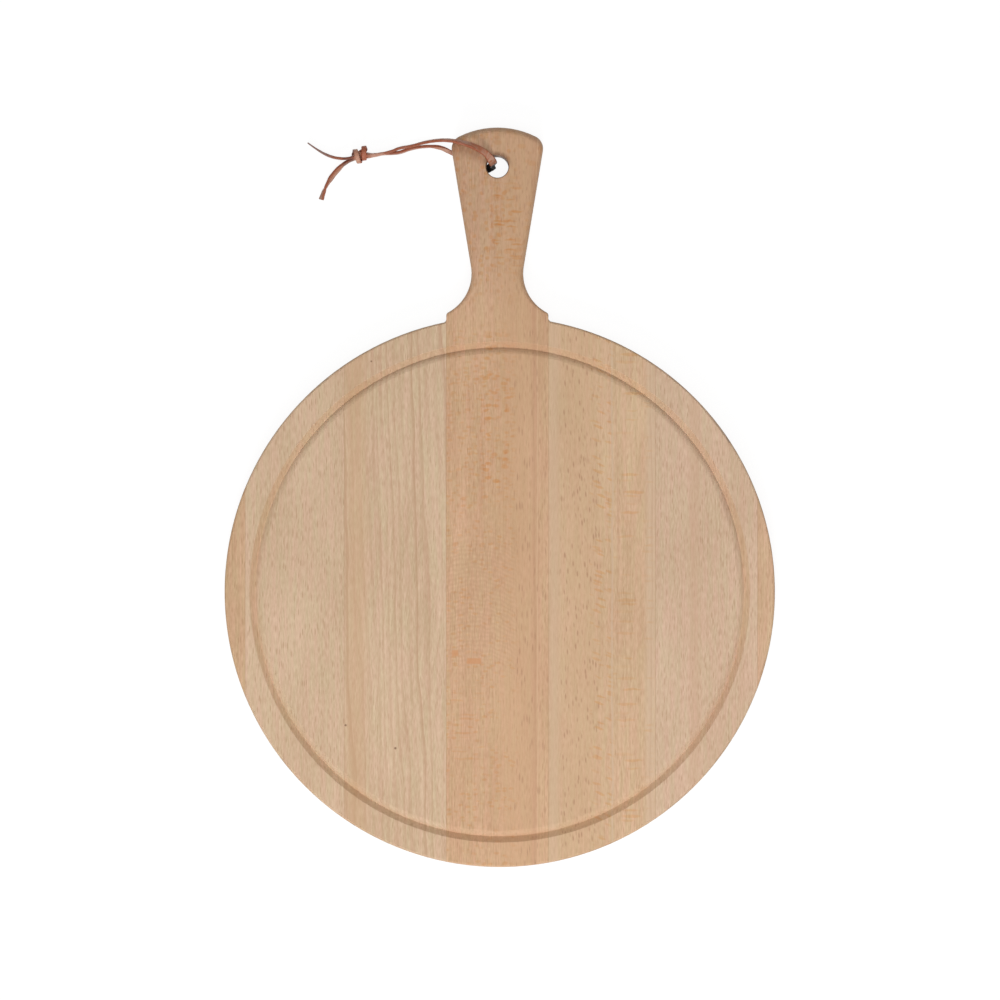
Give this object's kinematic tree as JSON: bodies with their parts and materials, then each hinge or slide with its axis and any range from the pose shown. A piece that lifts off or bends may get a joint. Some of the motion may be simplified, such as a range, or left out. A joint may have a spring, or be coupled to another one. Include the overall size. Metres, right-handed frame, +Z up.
{
  "type": "serving board",
  "caption": "Round edge-glued beech serving board with a handle, a juice groove near the rim and a knotted leather lace through a hanging hole.",
  "frame": {"origin": "middle of the round plate on its flat underside, which rests on the table", "axes": "+Z up out of the grooved face, +Y from the plate to the handle along the grain, +X to the right when the board is seen from above with its handle at the top"},
  "size_m": [0.345, 0.4639, 0.0245],
  "materials": {
    "beech_plank": "bare beech, radial face with ray flecks, sanded and lightly oiled",
    "beech_straight": "bare beech, fine straight lines, sanded and lightly oiled",
    "beech_flecked": "bare beech, short pores and ray flecks, sanded and lightly oiled",
    "beech_plain": "bare beech, plain face with fine pores, sanded and lightly oiled",
    "beech_sliver": "bare beech, warmer in colour, sanded and lightly oiled",
    "lace_leather": "cut leather lace, waxed face, rough edges"
  },
  "bodies": {
    "board": {"stave_left_edge": "beech_sliver", "stave_left_outer": "beech_plain", "stave_left_inner": "beech_straight", "centre_plank": "beech_plank", "stave_right_inner": "beech_flecked", "stave_right_outer": "beech_plain", "stave_right_edge": "beech_sliver"},
    "lace": {"lace_front": "lace_leather", "lace_back": "lace_leather", "lace_knot": "lace_leather", "lace_tail_upper": "lace_leather", "lace_tail_lower": "lace_leather"}
  },
  "joints": [
    {"name": "lace_swing", "type": "hinge", "parent": "board", "child": "lace", "pos_m": [-0.0015, 0.2666, 0.009], "axis": [0, 0, 1], "range_deg": [-210, 40]}
  ]
}
